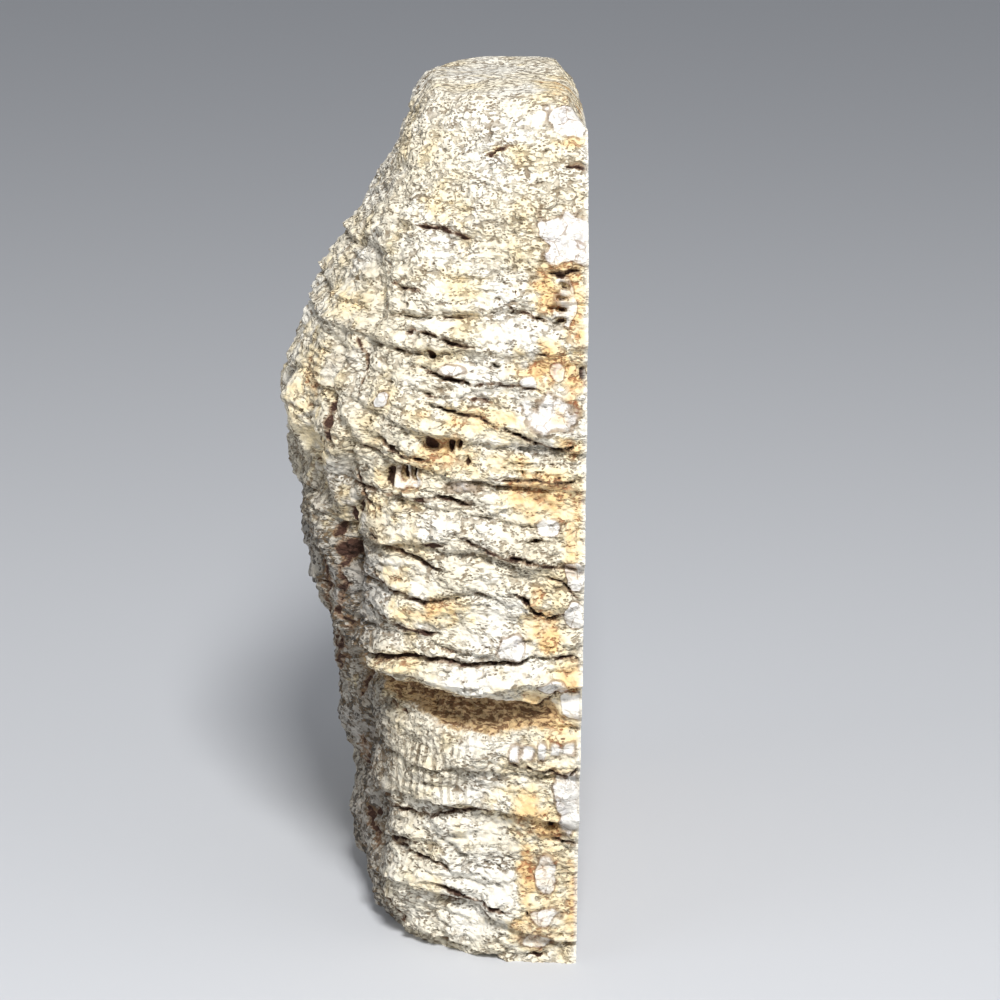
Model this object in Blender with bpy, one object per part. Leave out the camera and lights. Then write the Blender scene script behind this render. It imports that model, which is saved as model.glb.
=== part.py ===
"""Fossil coral: half of a stony coral head, sawn flat on one side.

Metres, +Z up. The sawn face looks along +X and stands upright, the rough
outside bulges to -X, and the piece rests on a flat cut at its foot. The
origin is under the middle of the whole piece, on the surface it rests on.
"""
import math

import bmesh
import bpy
import numpy as np

for old in list(bpy.data.objects):
    bpy.data.objects.remove(old, do_unlink=True)

MM = 0.001

# Driving sizes, in millimetres
HEIGHT = 127.2          # foot to crest
REACH = 44.5            # sawn face to the furthest point of the bulge
DEPTH = 92.0            # front edge to back edge of the sawn face
WAIST = 40.0            # how far behind the front edge the bulge is deepest
FRONT_SQUARENESS = 2.7  # superellipse powers of the plan, front and back
FOOT_SQUARENESS = 2.7
FOOT_HEIGHT = 18.0
BACK_SQUARENESS = 2.3
CREST_SQUARENESS = 3.8  # the back of the plan, close under the crest
TOP_BEVEL = 4.5         # the chipped top edge of the sawn face
TOP_BEVEL_REACH = 3.5

# The viewer's place that the front relief is laid out from
EYE_TILT = math.radians(16.0)
EYE_DISTANCE = 523.0
EYE_LEFT_OF_FACE = 26.0

# The grid of the rough skin
COLUMNS = 74            # round the skin, from front edge to back edge
ROWS = 60               # up the skin
FRONT_SHARE = 0.62      # share of the columns spent on the front half

# height, reach, front edge, back edge: shares of the driving sizes
STATIONS = (
    (0.000, 0.670, 0.000, 0.900),
    (0.030, 0.735, 0.000, 0.935),
    (0.110, 0.765, 0.000, 0.970),
    (0.200, 0.770, 0.008, 0.985),
    (0.300, 0.830, 0.000, 1.000),
    (0.400, 0.915, 0.000, 1.000),
    (0.480, 0.965, 0.004, 0.990),
    (0.560, 0.968, 0.010, 0.972),
    (0.630, 1.000, 0.018, 0.950),
    (0.710, 0.950, 0.036, 0.915),
    (0.790, 0.825, 0.066, 0.868),
    (0.870, 0.710, 0.108, 0.815),
    (0.930, 0.630, 0.155, 0.765),
    (0.970, 0.575, 0.195, 0.725),
)
CREST = (                # the rounded top, closing in on the sawn face
    (0.990, 0.530, 0.225, 0.705),
    (0.999, 0.500, 0.245, 0.685),
    (1.000, 0.410, 0.270, 0.655),
    (1.000, 0.220, 0.300, 0.620),
    (0.997, 0.000, 0.345, 0.560),
)

# Long cracks and undercuts: points across and up from the front foot of the sawn
# face, as the viewer sees them, then half width and depth
CRACKS = (
    (((-11.2, 98.2), (-4.5, 95.7)), 0.9, 1.3),
    (((-26.9, 94.5), (-15.7, 92.2)), 0.9, 1.2),
    (((-25.4, 89.2), (-15.7, 86.2), (-6.7, 85.5)), 1.1, 1.7),
    (((-11.2, 79.5), (-4.5, 77.3), (-0.3, 78.0)), 1.1, 1.8),
    (((-30.6, 70.2), (-15.7, 69.1)), 0.9, 1.2),
    (((-32.1, 64.6), (-20.2, 58.6)), 0.9, 1.4),
    (((-9.7, 55.6), (-4.5, 51.1)), 1.0, 1.3),
    (((-32.9, 47.4), (-20.2, 45.7), (-11.2, 45.6), (-4.5, 46.0)), 1.1, 2.1),
    (((-29.9, 24.2), (-21.7, 22.0), (-11.2, 22.0)), 0.9, 1.2),
    (((-29.1, 19.0), (-18.7, 13.8)), 1.0, 1.3),
    (((-5.2, 103.3), (0.0, 103.3)), 0.9, 1.3),
    (((-4.5, 18.2), (0.4, 17.2)), 0.9, 1.3),
)
# The deep groove and the rounded ledge above it: points, half width, depth or height
GROOVE = (((-30.6, 40.8), (-23.6, 38.2), (-18.7, 37.1), (-12.7, 36.5), (-6.7, 36.4),
           (-3.2, 36.6)), 2.2, 5.0)
TUBE = (((-31.5, 45.8), (-26.0, 44.4), (-18.7, 42.8), (-12.0, 41.8), (-6.6, 42.2)), 2.0, 2.3)

# Upright creases of the outer side: points, half width, depth
VALLEYS = (
    (((-41.5, 78.0), (-39.6, 70.5), (-37.4, 66.0), (-34.4, 63.0), (-34.8, 55.6), (-34.4, 48.1),
      (-32.9, 36.9), (-31.4, 25.7), (-31.1, 18.2)), 1.5, 2.4),
    (((-27.4, 119.1), (-27.2, 113.9), (-28.4, 104.9), (-29.4, 98.9), (-29.1, 94.5)), 1.1, 1.2),
    (((-32.1, 107.9), (-31.1, 98.9), (-33.6, 90.0), (-34.8, 85.5)), 1.1, 1.4),
    (((-37.4, 93.0), (-37.8, 87.0), (-34.4, 78.0), (-35.9, 72.0), (-34.4, 60.0)), 1.2, 1.6),
)

# Hollows and knobs: across, up, half width, half height, depth (plus is out)
HOLLOWS = (
    (-21.8, 90.6, 0.9, 0.9, -1.6),
    (-6.0, 90.6, 1.6, 0.9, -1.4),
    (0.6, 87.7, 1.2, 1.7, -1.6),
    (-20.2, 77.6, 2.4, 1.4, -2.2),
    (-27.7, 72.6, 1.2, 2.0, -1.8),
    (-6.4, 62.9, 1.4, 0.9, -1.5),
    (-34.7, 61.9, 1.9, 2.6, -3.4),
    (-4.5, 20.2, 1.1, 1.1, -1.5),
    (-4.8, 1.5, 2.6, 1.4, -1.6),
)
KNOBS = (
    (-1.9, 107.5, 3.4, 3.8, 0.9),
    (-1.5, 126.6, 3.0, 2.3, 0.9),
    (-2.2, 81.5, 3.2, 3.6, 1.6),
    (-29.4, 84.2, 1.5, 1.5, 1.4),
    (-7.5, 21.7, 3.1, 3.3, 1.2),
    (-1.6, 24.2, 2.2, 5.2, 0.8),
    (-4.5, 7.0, 2.4, 1.7, 0.7),
    (-37.0, 112.0, 4.5, 4.5, 0.9),
    (-24.0, 105.0, 6.0, 3.5, 0.9),
    (-12.0, 112.0, 6.5, 3.0, 0.8),
    (-20.0, 53.0, 7.0, 3.0, 1.0),
    (-16.0, 31.0, 7.0, 3.6, 0.9),
    (-24.0, 27.5, 5.5, 3.0, 1.2),
    (-24.0, 12.5, 5.0, 3.4, 1.2),
)

LEDGE_PITCH = 6.6       # height of a growth ledge
LEDGE_DEPTH = 1.9
LEDGE_LENGTH = 17.0     # how far round the skin one ledge runs
LUMP_SIZE = (8.5, 8.5, 15.0)    # upright lumps of the outer side
LUMP_DEPTH = 2.2
BLOCK_SIZE = (9.0, 9.0, 4.6)    # low blocks of the front
BLOCK_DEPTH = 1.0
GRAIN = 0.35


def smooth(low, high, value):
    """0 below low, 1 above high, with no corner between them."""
    part = np.clip((value - low) / (high - low), 0.0, 1.0)
    return part * part * (3.0 - 2.0 * part)


def cell_number(cell, seed):
    """A fixed number from 0 to 1 for each whole-number cell (n x 3)."""
    code = (cell[:, 0] * 73856093) ^ (cell[:, 1] * 19349663)
    code = code ^ (cell[:, 2] * 83492791) ^ (seed * 2654435761)
    code = (code ^ (code >> 13)) * 1274126177 & 0x7FFFFFFF
    return ((code ^ (code >> 16)) & 0xFFFF) / 65535.0


def lattice(points, seed):
    """Smooth value noise from -1 to 1 at points (n x 3)."""
    cell = np.floor(points).astype(np.int64)
    part = points - cell
    part = part * part * (3.0 - 2.0 * part)
    total = np.zeros(len(points))
    for dx in (0, 1):
        for dy in (0, 1):
            for dz in (0, 1):
                value = cell_number(cell + (dx, dy, dz), seed) * 2.0 - 1.0
                weight = np.abs(1 - dx - part[:, 0]) * np.abs(1 - dy - part[:, 1])
                total += weight * np.abs(1 - dz - part[:, 2]) * value
    return total


def lumps(points, seed, softness):
    """Rounded lumps about scattered seeds, from 0 between them to 1 on the tallest."""
    cell = np.floor(points).astype(np.int64)
    nearest = np.full(len(points), 9.0)
    second = np.full(len(points), 9.0)
    tone = np.zeros(len(points))
    for dx in (-1, 0, 1):
        for dy in (-1, 0, 1):
            for dz in (-1, 0, 1):
                home = cell + (dx, dy, dz)
                spot = np.column_stack([cell_number(home, seed + k) for k in range(3)])
                gap = np.linalg.norm(home + spot - points, axis=1)
                closer = gap < nearest
                second = np.where(closer, nearest, np.minimum(second, gap))
                tone = np.where(closer, spot[:, 0], tone)
                nearest = np.minimum(nearest, gap)
    return smooth(0.0, softness, second - nearest), tone


def plan_curve(height, reach, front, back, count):
    """Points of one level's outline, from the front edge round to the back edge."""
    foot = 1.0 - smooth(0.0, FOOT_HEIGHT, height)
    squareness = FRONT_SQUARENESS + (FOOT_SQUARENESS - FRONT_SQUARENESS) * foot
    turn = np.linspace(0.0, math.pi / 2, 160)
    waist = front + (back - front) * WAIST / DEPTH
    power = 2.0 / squareness
    x_front = -reach * np.sin(turn) ** power
    y_front = waist - (waist - front) * np.cos(turn) ** power
    crest = smooth(0.86, 0.98, height / HEIGHT)
    power = 2.0 / (BACK_SQUARENESS + (CREST_SQUARENESS - BACK_SQUARENESS) * crest)
    x_back = -reach * np.cos(turn) ** power
    y_back = waist + (back - waist) * np.sin(turn) ** power
    halves = []
    front_count = int(count * FRONT_SHARE)
    for xs, ys, number in ((x_front, y_front, front_count),
                           (x_back, y_back, count - front_count)):
        run = np.concatenate(([0.0], np.cumsum(np.hypot(np.diff(xs), np.diff(ys)))))
        at = np.linspace(0.0, run[-1], number + 1)
        halves.append(np.column_stack((np.interp(at, run, xs), np.interp(at, run, ys))))
    return np.vstack((halves[0], halves[1][1:]))


def level_rows():
    """Heights and plan sizes of every row, in millimetres."""
    side = np.array(STATIONS)
    crest_rows = len(CREST)
    shares = np.linspace(0.0, side[-1, 0], ROWS - crest_rows)
    rows = [np.interp(shares, side[:, 0], side[:, k]) for k in range(4)]
    for k in range(1, 4):
        soft = rows[k].copy()
        soft[1:-1] = (rows[k][:-2] + 2 * rows[k][1:-1] + rows[k][2:]) / 4
        rows[k] = soft
    table = np.vstack((np.column_stack(rows), np.array(CREST)))
    return table * np.array((HEIGHT, REACH, DEPTH, DEPTH))


def skin_grid():
    """The smooth skin as a grid of points: rows up, columns round."""
    table = level_rows()
    grid = np.zeros((ROWS, COLUMNS + 1, 3))
    for row, (height, reach, front, back) in enumerate(table):
        grid[row, :, :2] = plan_curve(height, max(reach, 0.01), front, back, COLUMNS)
        grid[row, :, 2] = height
    return grid


def outward(grid):
    """Unit normals of the skin that point out of the coral."""
    up = np.gradient(grid, axis=0)
    along = np.gradient(grid, axis=1)
    normal = np.cross(up, along)
    length = np.linalg.norm(normal, axis=2, keepdims=True)
    return normal / np.maximum(length, 1e-9)


def seen_from_front(points):
    """Across and up, in millimetres beside the front foot, as the viewer sees them."""
    across, back, height = points[:, 0], points[:, 1], points[:, 2]
    level = back * math.sin(EYE_TILT) + height * math.cos(EYE_TILT)
    away = back * math.cos(EYE_TILT) - height * math.sin(EYE_TILT)
    shrink = EYE_DISTANCE / (EYE_DISTANCE + away)
    eye_level = HEIGHT * 0.53
    return ((across + EYE_LEFT_OF_FACE) * shrink - EYE_LEFT_OF_FACE,
            (level - eye_level) * shrink + eye_level)


def from_line(across, up, line):
    """Distance of each place to a line of points, and whether it is above it."""
    best = np.full(len(across), 1e9)
    over = np.zeros(len(across))
    for (ax, ay), (bx, by) in zip(line[:-1], line[1:]):
        span = (bx - ax) ** 2 + (by - ay) ** 2
        part = np.clip(((across - ax) * (bx - ax) + (up - ay) * (by - ay)) / span, 0, 1)
        dx = across - ax - part * (bx - ax)
        dy = up - ay - part * (by - ay)
        gap = np.hypot(dx, dy)
        nearer = gap < best
        best = np.where(nearer, gap, best)
        over = np.where(nearer, dy, over)
    return best, over


def ledges(points, run):
    """Overlapping growth ledges, each fullest just above its lower lip."""
    wander = lattice(points / 21.0, 3) * 3.4 + lattice(points / 8.0, 4) * 1.6
    slope = -0.07 + 0.27 * smooth(86.0, 108.0, points[:, 2])
    course = (points[:, 2] + wander + run * slope) / LEDGE_PITCH
    number = np.floor(course)
    climb = course - number
    shift = np.mod(number * 0.618, 1.0) * 5.0
    stretch = np.mod(run / LEDGE_LENGTH + shift, 1.0)
    lip = smooth(0.0, 0.16, climb) * (1.0 - 0.75 * climb)
    body = 0.45 + 0.55 * np.sin(math.pi * stretch) ** 0.6
    size = 0.75 + 0.4 * np.sin(number * 2.3)
    return LEDGE_DEPTH * (lip * body * size - 0.3)


def relief(grid):
    """How far each point of the skin stands out from the smooth form."""
    points = grid.reshape(-1, 3)
    step = np.linalg.norm(np.diff(grid, axis=1), axis=2)
    run = np.concatenate((np.zeros((ROWS, 1)), np.cumsum(step, axis=1)), axis=1).ravel()
    across, up = seen_from_front(points)
    facing = 1.0 - smooth(0.44, 0.56, np.tile(np.linspace(0, 1, COLUMNS + 1), ROWS))
    calm_top = 1.0 - 0.55 * smooth(0.74, 0.90, points[:, 2] / HEIGHT)

    out = ledges(points, run) * calm_top
    on_side = smooth(27.0, 36.0, run)
    swirl = points + 1.3 * np.column_stack([lattice(points / 5.0, 14 + k) for k in range(3)])
    lump, tone = lumps(swirl / LUMP_SIZE, 11, 0.80)
    out += on_side * LUMP_DEPTH * (lump * (0.55 + 0.45 * tone) - 0.45)
    lump, tone = lumps(swirl / BLOCK_SIZE, 17, 0.45)
    out += (1 - on_side) * calm_top * BLOCK_DEPTH * (lump * (0.5 + 0.5 * tone) - 0.45)
    out += GRAIN * lattice(points / 3.1, 21) + 0.7 * lattice(points / 9.0, 22)

    for line, half, depth in CRACKS:
        gap, over = from_line(across, up, line)
        out -= facing * depth * np.exp(-(gap / half) ** 2)
        lip = np.exp(-((over - 1.6 * half) / half) ** 2) * np.exp(-(gap / half / 2.4) ** 2)
        out += facing * 0.45 * depth * lip
    line, half, depth = GROOVE
    gap, over = from_line(across, up, line)
    fade = 0.40 + 0.60 * smooth(0.5, -20.0, across)
    fall = 0.55 + 0.45 * smooth(-half, 0.6 * half, over)
    out -= facing * fade * fall * depth * np.exp(-(gap / half) ** 4)
    line, half, height = TUBE
    gap, over = from_line(across, up, line)
    out += facing * height * np.exp(-(gap / half) ** 2)
    for line, half, depth in VALLEYS:
        gap, over = from_line(across, up, line)
        out -= facing * depth * np.exp(-(gap / half) ** 2)

    for x, z, half_wide, half_high, rise in HOLLOWS + KNOBS:
        gap = np.hypot((across - x) / half_wide, (up - z) / half_high)
        out += facing * rise * np.exp(-gap ** 3)
    return out.reshape(grid.shape[:2])


def roughened():
    """The skin with its relief, held to the sawn face and to the foot."""
    grid = skin_grid()
    out = relief(grid)
    rise = np.linspace(0.0, 1.0, ROWS)[:, None]
    out *= 1.0 - 0.8 * smooth(0.90, 0.96, rise)
    grid = grid + outward(grid) * out[..., None]

    bevel = HEIGHT - TOP_BEVEL + np.abs(grid[..., 0]) * TOP_BEVEL / TOP_BEVEL_REACH
    wobble = 0.3 * lattice(grid.reshape(-1, 3) / 2.3, 31).reshape(ROWS, -1)
    grid[..., 2] = np.minimum(grid[..., 2], bevel + wobble)
    grid[..., 0] = np.minimum(grid[..., 0], -0.15)
    for edge in (grid[:, 0], grid[:, -1], grid[-1]):
        edge[:, 0] = 0.0
    grid[..., 2] = np.maximum(grid[..., 2], 0.4)
    grid[0, :, 2] = 0.0
    return grid


def rock_material():
    """Weathered cream limestone with ochre stains."""
    material = bpy.data.materials.new("weathered_coral_rock")
    material.use_nodes = True
    shader = material.node_tree.nodes["Principled BSDF"]
    shader.inputs["Base Color"].default_value = (0.60, 0.52, 0.40, 1.0)
    shader.inputs["Roughness"].default_value = 0.85
    shader.inputs["Metallic"].default_value = 0.0
    return material


def coral_head():
    """One closed solid: the rough skin, the sawn face and the cut foot."""
    grid = roughened() * MM
    low = grid.min(axis=(0, 1))
    high = grid.max(axis=(0, 1))
    grid -= ((low[0] + high[0]) / 2, (low[1] + high[1]) / 2, 0.0)

    mesh = bmesh.new()
    last = ROWS - 1
    verts = [[mesh.verts.new(point) for point in row] for row in grid]
    for row in range(last):
        for column in range(COLUMNS):
            mesh.faces.new((verts[row][column], verts[row + 1][column],
                            verts[row + 1][column + 1], verts[row][column + 1]))
    front_edge = [row[0] for row in verts]
    back_edge = [row[-1] for row in reversed(verts)]
    mesh.faces.new(front_edge + verts[last][1:-1] + back_edge)
    mesh.faces.new(verts[0])
    bmesh.ops.recalc_face_normals(mesh, faces=mesh.faces)
    bmesh.ops.triangulate(mesh, faces=mesh.faces)

    data = bpy.data.meshes.new("coral_head")
    mesh.to_mesh(data)
    mesh.free()
    data.shade_smooth()
    data.set_sharp_from_angle(angle=math.radians(60.0))
    body = bpy.data.objects.new("coral_head", data)
    data.materials.append(rock_material())
    bpy.context.scene.collection.objects.link(body)
    return body


coral_head()
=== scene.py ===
import math

import bmesh
import bpy
import numpy as np
from mathutils import Matrix, Vector


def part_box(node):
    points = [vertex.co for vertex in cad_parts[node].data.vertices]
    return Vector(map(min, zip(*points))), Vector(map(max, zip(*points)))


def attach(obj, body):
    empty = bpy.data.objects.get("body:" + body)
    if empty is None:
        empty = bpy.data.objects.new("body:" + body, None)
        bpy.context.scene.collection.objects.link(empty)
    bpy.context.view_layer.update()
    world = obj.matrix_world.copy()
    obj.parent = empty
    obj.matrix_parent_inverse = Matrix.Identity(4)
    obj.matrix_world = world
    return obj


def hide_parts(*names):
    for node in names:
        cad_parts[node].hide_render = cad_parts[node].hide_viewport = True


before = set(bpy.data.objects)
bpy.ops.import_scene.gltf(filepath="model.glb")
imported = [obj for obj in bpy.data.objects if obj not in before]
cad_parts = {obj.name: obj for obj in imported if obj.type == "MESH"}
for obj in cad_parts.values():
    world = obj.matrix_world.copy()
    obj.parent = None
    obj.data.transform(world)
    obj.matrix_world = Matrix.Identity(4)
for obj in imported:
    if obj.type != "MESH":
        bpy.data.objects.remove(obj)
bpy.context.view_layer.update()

print("coral: frame loaded")

mm = 0.001
lowCorner, highCorner = (np.array(corner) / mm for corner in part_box("coral_head"))

# where the viewer stands, measured from the front foot of the sawn face, in mm
eye = dict(
    tilt=16.0,            # degrees above level
    distance=523.0,
    leftOfFace=26.0,      # for laying out the relief
    height=127.2,
    levelShare=0.53,      # share of the height that distance draws points towards
)

# the body of the coral: heights and plan sizes, in mm and shares of them
body = dict(
    height=127.2,
    reach=44.5,
    depth=92.0,
    waist=40.0,
    frontSquareness=2.7,
    footSquareness=2.7,
    footHeight=18.0,
    backSquareness=2.3,
    crestSquareness=3.8,
    bevelDrop=4.5,
    bevelReach=3.5,
    rows=366,
    crestRows=26,
    columns=264,
    curveSteps=400,
    frontShare=0.70,      # of the columns
    solidSideRows=55,     # rows of the solid's skin up to its crest
    solidCrestRows=5,     # and over it
    crestBlend=(0.86, 0.98),      # shares of the height
    crestBand=(0.93, 0.985),
    topBand=(0.74, 0.90),
    reliefFade=(0.90, 0.96),      # shares of the rows
    sharpAngle=65.0,      # degrees, past which an edge is drawn sharp
    # height, reach, front edge, back edge
    stations=(
        (0.000, 0.670, 0.000, 0.900),
        (0.030, 0.735, 0.000, 0.935),
        (0.110, 0.765, 0.000, 0.970),
        (0.200, 0.770, 0.008, 0.985),
        (0.300, 0.830, 0.000, 1.000),
        (0.400, 0.915, 0.000, 1.000),
        (0.480, 0.965, 0.004, 0.990),
        (0.560, 0.968, 0.010, 0.972),
        (0.630, 1.000, 0.018, 0.950),
        (0.710, 0.950, 0.036, 0.915),
        (0.790, 0.825, 0.066, 0.868),
        (0.870, 0.710, 0.108, 0.815),
        (0.930, 0.630, 0.155, 0.765),
        (0.970, 0.575, 0.195, 0.725),
    ),
    crest=(
        (0.990, 0.530, 0.225, 0.705),
        (0.999, 0.500, 0.245, 0.685),
        (1.000, 0.410, 0.270, 0.655),
        (1.000, 0.220, 0.300, 0.620),
        (0.997, 0.000, 0.345, 0.560),
    ),
)


def smooth(low, high, value):
    part = np.clip((value - low) / (high - low), 0.0, 1.0)
    return part * part * (3.0 - 2.0 * part)


def hashCells(cell, seed):   # a fixed number from 0 to 1 for each whole-number cell
    code = (cell[:, 0] * 73856093) ^ (cell[:, 1] * 19349663)
    code = code ^ (cell[:, 2] * 83492791) ^ (seed * 2654435761)
    code = (code ^ (code >> 13)) * 1274126177 & 0x7FFFFFFF
    return ((code ^ (code >> 16)) & 0xFFFF) / 65535.0


def lattice(points, seed):   # smooth noise from -1 to 1
    cell = np.floor(points).astype(np.int64)
    part = points - cell
    part = part * part * (3.0 - 2.0 * part)
    total = np.zeros(len(points))
    for dx in (0, 1):
        for dy in (0, 1):
            for dz in (0, 1):
                value = hashCells(cell + (dx, dy, dz), seed) * 2.0 - 1.0
                weight = np.abs(1 - dx - part[:, 0]) * np.abs(1 - dy - part[:, 1])
                total += weight * np.abs(1 - dz - part[:, 2]) * value
    return total


# grain is laid out on axes turned away from the cut's, so no rows of it line up
tipped = Matrix.Rotation(0.7, 3, "X") @ Matrix.Rotation(0.5, 3, "Y")
askewAxes = np.array(tipped @ Matrix.Rotation(0.9, 3, "Z"))


def layered(points, seed, octaves=3):
    total = np.zeros(len(points))
    for step in range(octaves):
        total += lattice(points * 2.03 ** step, seed + step) * 0.55 ** step
    return total


def nearestSeed(points, seed):   # distance to the nearest and next scattered seed
    cell = np.floor(points).astype(np.int64)
    nearest = np.full(len(points), 9.0)
    second = np.full(len(points), 9.0)
    tone = np.zeros(len(points))
    for dx in (-1, 0, 1):
        for dy in (-1, 0, 1):
            for dz in (-1, 0, 1):
                home = cell + (dx, dy, dz)
                spot = np.column_stack([hashCells(home, seed + k) for k in range(3)])
                gap = np.linalg.norm(home + spot - points, axis=1)
                closer = gap < nearest
                second = np.where(closer, nearest, np.minimum(second, gap))
                tone = np.where(closer, spot[:, 0], tone)
                nearest = np.minimum(nearest, gap)
    return nearest, second, tone


def planCurve(height, reach, front, back, count):
    foot = 1.0 - smooth(0.0, body["footHeight"], height)
    squareness = body["frontSquareness"]
    squareness += (body["footSquareness"] - squareness) * foot
    turn = np.linspace(0.0, math.pi / 2, body["curveSteps"])
    waist = front + (back - front) * body["waist"] / body["depth"]
    power = 2.0 / squareness
    frontCurve = (-reach * np.sin(turn) ** power,
                  waist - (waist - front) * np.cos(turn) ** power)
    crest = smooth(*body["crestBlend"], height / body["height"])
    squareness = body["backSquareness"]
    squareness = squareness + (body["crestSquareness"] - squareness) * crest
    power = 2.0 / squareness
    backCurve = (-reach * np.cos(turn) ** power, waist + (back - waist) * np.sin(turn) ** power)
    frontCount = int(count * body["frontShare"])
    halves = []
    for (xs, ys), number in ((frontCurve, frontCount), (backCurve, count - frontCount)):
        run = np.concatenate(([0.0], np.cumsum(np.hypot(np.diff(xs), np.diff(ys)))))
        at = np.linspace(0.0, run[-1], number + 1)
        halves.append(np.column_stack((np.interp(at, run, xs), np.interp(at, run, ys))))
    return np.vstack((halves[0], halves[1][1:]))


def skinGrid():
    side = np.array(body["stations"])
    crest = np.vstack((side[-1:], np.array(body["crest"])))
    coarse = np.linspace(0.0, side[-1, 0], body["solidSideRows"])
    table = [np.interp(coarse, side[:, 0], side[:, k]) for k in range(4)]
    for k in range(1, 4):
        soft = table[k].copy()
        soft[1:-1] = (table[k][:-2] + 2 * table[k][1:-1] + table[k][2:]) / 4
        table[k] = soft
    sideRows = body["rows"] - body["crestRows"]
    fine = np.linspace(0.0, side[-1, 0], sideRows)
    lower = np.column_stack([np.interp(fine, table[0], table[k]) for k in range(4)])
    along = np.linspace(0.0, len(crest) - 1, body["crestRows"] + 1)[1:]
    places = np.arange(len(crest))
    upper = np.column_stack([np.interp(along, places, crest[:, k]) for k in range(4)])
    levels = np.vstack((lower, upper))
    levels = levels * (body["height"], body["reach"], body["depth"], body["depth"])
    grid = np.zeros((body["rows"], body["columns"] + 1, 3))
    for row, (height, reach, front, back) in enumerate(levels):
        grid[row, :, :2] = planCurve(height, max(reach, 0.01), front, back, body["columns"])
        grid[row, :, 2] = height
    return grid


def outward(grid):
    normal = np.cross(np.gradient(grid, axis=0), np.gradient(grid, axis=1))
    length = np.linalg.norm(normal, axis=2, keepdims=True)
    return normal / np.maximum(length, 1e-9)


def seenFromFront(points):   # across and up beside the front foot, as the viewer sees them
    tilt = math.radians(eye["tilt"])
    across, back, height = points[:, 0], points[:, 1], points[:, 2]
    level = back * math.sin(tilt) + height * math.cos(tilt)
    away = back * math.cos(tilt) - height * math.sin(tilt)
    shrink = eye["distance"] / (eye["distance"] + away)
    eyeLevel = eye["height"] * eye["levelShare"]
    return ((across + eye["leftOfFace"]) * shrink - eye["leftOfFace"],
            (level - eyeLevel) * shrink + eyeLevel)


def fromLine(across, up, line):   # distance to a line, and how far above it
    best = np.full(len(across), 1e9)
    over = np.zeros(len(across))
    along = np.zeros(len(across))
    done = 0.0
    for (ax, ay), (bx, by) in zip(line[:-1], line[1:]):
        span = math.hypot(bx - ax, by - ay)
        part = ((across - ax) * (bx - ax) + (up - ay) * (by - ay)) / span ** 2
        part = np.clip(part, 0, 1)
        dx = across - ax - part * (bx - ax)
        dy = up - ay - part * (by - ay)
        gap = np.hypot(dx, dy)
        nearer = gap < best
        best = np.where(nearer, gap, best)
        over = np.where(nearer, dy, over)
        along = np.where(nearer, done + part * span, along)
        done += span
    return best, over, along / done


# broad relief, after the solid's: ledges, swellings, groove and rounded ledge, in mm
broad = dict(
    ledgePitch=6.6,
    ledgeDepth=1.9,
    ledgeLength=17.0,
    lumpSize=(8.5, 8.5, 15.0),
    lumpDepth=2.2,
    blockSize=(9.0, 9.0, 4.6),
    blockDepth=1.0,
    layerPitch=1.6,
    layerDepth=0.16,
    grain=0.35,
    groove=((-33.4, 44.8), (-29.9, 41.2), (-23.6, 38.2), (-18.7, 37.1), (-12.7, 36.5),
            (-7.4, 36.4), (-5.2, 36.6)),
    grooveHalf=2.2,
    grooveDepth=5.0,
    tube=((-31.5, 45.8), (-26.0, 44.4), (-18.7, 42.8), (-12.0, 41.8), (-6.6, 42.2)),
    tubeHalf=2.0,
    tubeHeight=2.3,
    sideFrom=(27.0, 36.0),        # how far round the skin the outer side begins
    swirl=1.3,
)

# fine relief: crevices, cracks, flaky grain, pits, crumbs and winding tracks, in mm
fine = dict(
    creviceDepth=0.8,
    creviceHalf=0.42,
    crackDepth=0.8,       # shares of each crack's own depth and half width
    crackHalf=0.65,
    crackLip=0.42,
    crackUnder=0.14,
    flakeDepth=0.58,
    flakeLessAtSide=0.22,
    pitSpacing=(1.15, 1.15, 0.9),
    pitDepth=0.50,
    crumbSize=0.75,
    crumbDepth=0.16,
    trackDepth=0.28,
    # strength of the painted shade in the hollows
    hollowDark=1.15,      # how strongly the hollows are darkened
)

# upright ribs of weathered corallites, low on the front: middle, half width, half height
ribs = dict(across=-23.0, up=29.5, halfWide=8.5, halfHigh=5.6)

# upright creases of the outer side: points across and up, half width, depth
valleys = (
    (((-41.5, 78.0), (-39.6, 70.5), (-37.4, 66.0), (-34.4, 63.0), (-34.8, 55.6), (-34.4, 48.1),
      (-32.9, 36.9), (-31.4, 25.7), (-31.1, 18.2)), 1.3, 2.4),
    (((-27.4, 119.1), (-26.9, 111.0), (-27.6, 107.0), (-30.0, 101.5), (-31.2, 97.0)), 1.5, 0.9),
    (((-32.1, 107.9), (-31.1, 98.9), (-33.6, 90.0), (-34.8, 85.5)), 1.3, 1.1),
    (((-37.4, 93.0), (-37.8, 87.0), (-34.4, 78.0), (-35.9, 72.0), (-34.4, 60.0)), 1.0, 1.7),
)

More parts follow.
